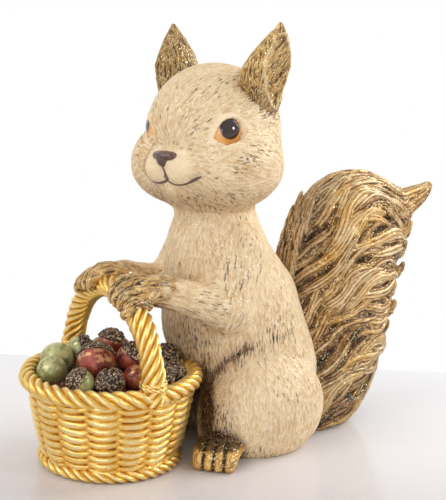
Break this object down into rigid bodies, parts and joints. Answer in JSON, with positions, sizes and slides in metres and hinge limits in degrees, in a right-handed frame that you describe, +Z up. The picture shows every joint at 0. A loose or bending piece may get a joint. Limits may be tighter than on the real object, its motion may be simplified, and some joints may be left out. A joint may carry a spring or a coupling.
{
  "type": "animal figurine",
  "caption": "Squirrel figurine in cream and gold resin, paws resting on the twisted handle of a gold woven basket of hazelnuts.",
  "frame": {"origin": "centre of the footprint's bounding box, on the table plane", "axes": "+Z up, -Y the way the squirrel's body faces (towards the basket), +X the squirrel's left"},
  "size_m": [0.0928, 0.2334, 0.2031],
  "materials": {
    "cream_resin": "matte carved resin, cream paint with tan wash and fine glitter",
    "gold_brown_resin": "metallic gold paint over dark brown wash with glitter",
    "basket_gold": "bright antique gold paint, semi-gloss",
    "eye_gloss": "gloss amber iris with a dark pupil",
    "nose_brown": "satin dark brown paint",
    "nut_green": "semi-gloss sage green paint",
    "nut_red": "semi-gloss wine red paint with gold rub",
    "nut_cap_brown": "rough dark brown with gold glitter"
  },
  "bodies": {
    "root": {"base_rope": "basket_gold", "basket_bowl": "basket_gold", "basket_handle": "basket_gold", "brown_nut_1": "nut_cap_brown", "brown_nut_1_cap": "nut_cap_brown", "brown_nut_2": "nut_cap_brown", "brown_nut_2_cap": "nut_cap_brown", "brown_nut_3": "nut_cap_brown", "green_nut_1": "nut_green", "green_nut_2": "nut_green", "green_nut_3": "nut_green", "green_nut_3_cap": "nut_cap_brown", "green_nut_4": "nut_green", "green_nut_4_cap": "nut_cap_brown", "green_nut_5": "nut_green", "green_nut_5_cap": "nut_cap_brown", "green_nut_6": "nut_green", "head_casting": "cream_resin", "left_arm": "cream_resin", "left_collar": "basket_gold", "left_ear": "gold_brown_resin", "left_eye": "eye_gloss", "left_hind_foot": "gold_brown_resin", "nose": "nose_brown", "nut_bed": "nut_cap_brown", "red_nut_1": "nut_red", "red_nut_1_cap": "nut_cap_brown", "red_nut_2": "nut_red", "red_nut_2_cap": "nut_cap_brown", "red_nut_3": "nut_red", "red_nut_3_cap": "nut_cap_brown", "red_nut_4": "nut_red", "red_nut_5": "nut_red", "red_nut_5_cap": "nut_cap_brown", "red_nut_6": "nut_red", "red_nut_7": "nut_red", "red_nut_7_cap": "nut_cap_brown", "right_arm": "cream_resin", "right_collar": "basket_gold", "right_ear": "gold_brown_resin", "right_eye": "eye_gloss", "right_hind_foot": "gold_brown_resin", "rim_rope": "basket_gold", "tail_casting": "gold_brown_resin", "torso_casting": "cream_resin"}
  },
  "joints": []
}
